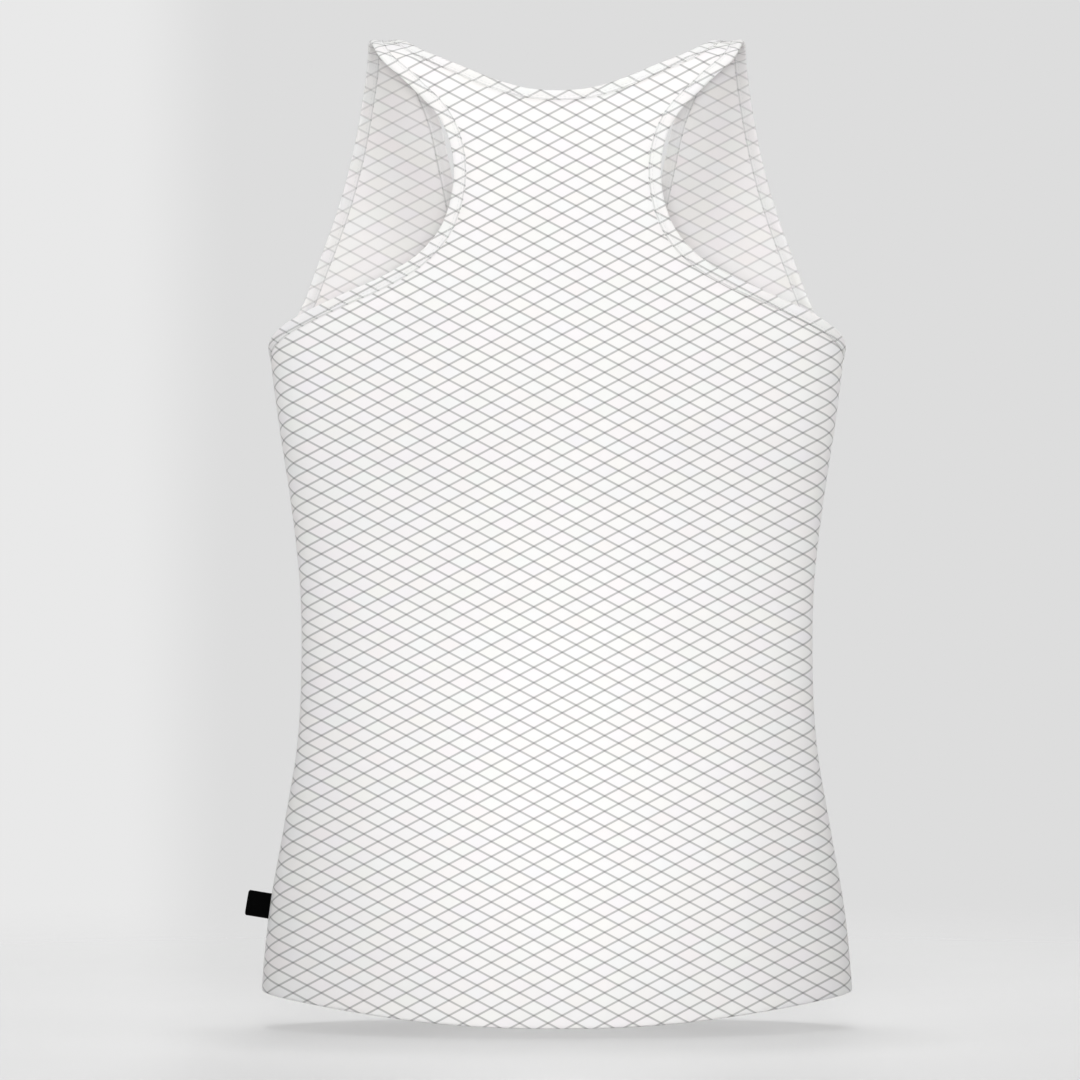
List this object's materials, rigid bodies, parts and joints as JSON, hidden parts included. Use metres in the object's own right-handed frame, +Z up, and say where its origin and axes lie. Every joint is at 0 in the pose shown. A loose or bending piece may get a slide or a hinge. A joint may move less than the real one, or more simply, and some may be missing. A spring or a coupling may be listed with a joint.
{
  "type": "sleeveless base layer top",
  "caption": "Women's sleeveless base layer top with a racerback, scoop front, bound neck and armholes and a curved hem, filled out as if worn, in white cloth with a thin grey diamond lattice.",
  "frame": {"origin": "midway between the straps, on the shoulder line that the wearer's shoulders hold up", "axes": "+Z up along the wearer, -Y out of the front, +X to the wearer's left"},
  "size_m": [0.3812, 0.1934, 0.6143],
  "materials": {
    "body_cloth": "matt white stretch knit with a fine grey diamond lattice",
    "edge_binding": "matt white folded strip, twin-needle stitched",
    "woven_label": "black close-woven tape"
  },
  "bodies": {
    "root": {"back_panel": "body_cloth", "front_panel": "body_cloth", "neck_binding": "edge_binding", "armhole_binding_left": "edge_binding", "armhole_binding_right": "edge_binding", "side_label": "woven_label"}
  },
  "joints": []
}
